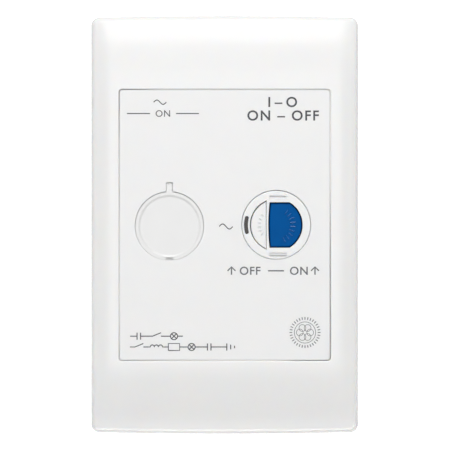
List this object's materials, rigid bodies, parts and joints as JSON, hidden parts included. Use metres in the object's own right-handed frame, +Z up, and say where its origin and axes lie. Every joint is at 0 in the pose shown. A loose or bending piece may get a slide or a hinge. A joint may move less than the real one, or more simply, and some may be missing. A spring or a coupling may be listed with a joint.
{
  "type": "residual current device switch",
  "caption": "Vertical wall plate with a clip-on surround, a round power indicator, and a round nose with test and reset buttons.",
  "frame": {"origin": "midway between the two wall screws, on the wall surface", "axes": "+X to the right, -Y out of the wall towards the viewer, +Z up"},
  "size_m": [0.076, 0.0393, 0.119],
  "materials": {
    "surround_plastic": "glossy moulded white",
    "panel_plastic": "smooth white, printed marks",
    "nose_plastic": "smooth bright white",
    "lens_plastic": "frosted translucent white",
    "blue_plastic": "satin blue",
    "smoke_plastic": "smoked dark",
    "housing_plastic": "fine moulded grain",
    "inner_plastic": "black moulded",
    "board_laminate": "green lacquered laminate",
    "component_body": "moulded component bodies",
    "resistor_body": "lacquered beige",
    "steel": "bright zinc plated",
    "brass": "bright brass",
    "copper_wire": "enamelled copper",
    "core_ferrite": "dark sintered",
    "line_insulation": "red insulation",
    "neutral_insulation": "black insulation",
    "clear_glass": "clear glass"
  },
  "bodies": {
    "root": {"grid_plate": "panel_plastic", "front_housing": "nose_plastic", "rear_housing": "housing_plastic", "housing_screws": "steel", "indicator_lens": "lens_plastic", "indicator_reflector": "nose_plastic", "neon_lamp": "clear_glass", "neon_resistor": "resistor_body", "test_resistor": "resistor_body", "status_light_pipe": "smoke_plastic", "status_led": "clear_glass", "mechanism_frame": "inner_plastic", "arm_anchor_line": "brass", "arm_anchor_neutral": "brass", "fixed_contact_line": "brass", "fixed_contact_neutral": "brass", "trip_bobbin": "inner_plastic", "trip_winding": "copper_wire", "trip_yoke": "steel", "circuit_board": "board_laminate", "control_chip": "component_body", "trip_thyristor": "component_body", "supply_capacitor": "component_body", "varistor": "component_body", "toroid_core": "core_ferrite", "sense_winding": "copper_wire", "line_in_lead": "line_insulation", "neutral_in_lead": "neutral_insulation", "line_out_lead": "line_insulation", "neutral_out_lead": "neutral_insulation", "terminal_line_in": "brass", "terminal_neutral_in": "brass", "terminal_line_out": "brass", "terminal_neutral_out": "brass", "terminal_screws": "steel", "test_contacts": "brass", "reset_spring": "steel", "plunger_spring": "steel"},
    "surround": {"surround_cover": "surround_plastic"},
    "reset": {"reset_button": "blue_plastic", "reset_pin": "steel"},
    "carrier": {"contact_carrier": "inner_plastic", "latch_spring": "steel"},
    "latch": {"latch_slide": "steel"},
    "arm_line": {"moving_contact_arm_line": "brass"},
    "arm_neutral": {"moving_contact_arm_neutral": "brass"},
    "test": {"test_button": "nose_plastic"},
    "leaf": {"test_leaf": "brass"},
    "plunger": {"trip_plunger": "steel"}
  },
  "joints": [
    {"name": "cover_unclip", "type": "slide", "parent": "root", "child": "surround", "axis": [0, -1, 0], "range_m": [0, 0.025]},
    {"name": "reset_press", "type": "slide", "parent": "root", "child": "reset", "axis": [0, 1, 0], "range_m": [0, 0.0018], "stiffness_N_per_m": 800, "springref_m": -0.001, "deforming": ["reset_spring"]},
    {"name": "carrier_travel", "type": "slide", "parent": "root", "child": "carrier", "axis": [0, 1, 0], "range_m": [0, 0.0018]},
    {"name": "latch_shift", "type": "slide", "parent": "carrier", "child": "latch", "axis": [0, 0, -1], "range_m": [0, 0.0016], "deforming": ["latch_spring"]},
    {"name": "arm_line_swing", "type": "hinge", "parent": "root", "child": "arm_line", "pos_m": [0.0124, 0.01275, -0.014], "axis": [-1, 0, 0], "range_deg": [0, 8.6]},
    {"name": "arm_neutral_swing", "type": "hinge", "parent": "root", "child": "arm_neutral", "pos_m": [0.0216, 0.01275, -0.014], "axis": [-1, 0, 0], "range_deg": [0, 8.6]},
    {"name": "test_press", "type": "slide", "parent": "root", "child": "test", "axis": [0, 1, 0], "range_m": [0, 0.0015], "stiffness_N_per_m": 600, "springref_m": -0.0005},
    {"name": "leaf_bend", "type": "hinge", "parent": "root", "child": "leaf", "pos_m": [0.0098, 0.0036, -0.009], "axis": [-1, 0, 0], "range_deg": [0, 9.6]},
    {"name": "trip_stroke", "type": "slide", "parent": "root", "child": "plunger", "axis": [0, 0, -1], "range_m": [0, 0.0016], "stiffness_N_per_m": 250, "springref_m": -0.0008, "deforming": ["plunger_spring"]}
  ],
  "couplings": [
    {"joint": "carrier_travel", "follows": "reset_press", "ratio": 1},
    {"joint": "arm_line_swing", "follows": "reset_press", "rad_per_m": 83.333},
    {"joint": "arm_neutral_swing", "follows": "reset_press", "rad_per_m": 83.333},
    {"joint": "leaf_bend", "follows": "test_press", "rad_per_m": 111.11},
    {"joint": "latch_shift", "follows": "trip_stroke", "ratio": 1}
  ]
}
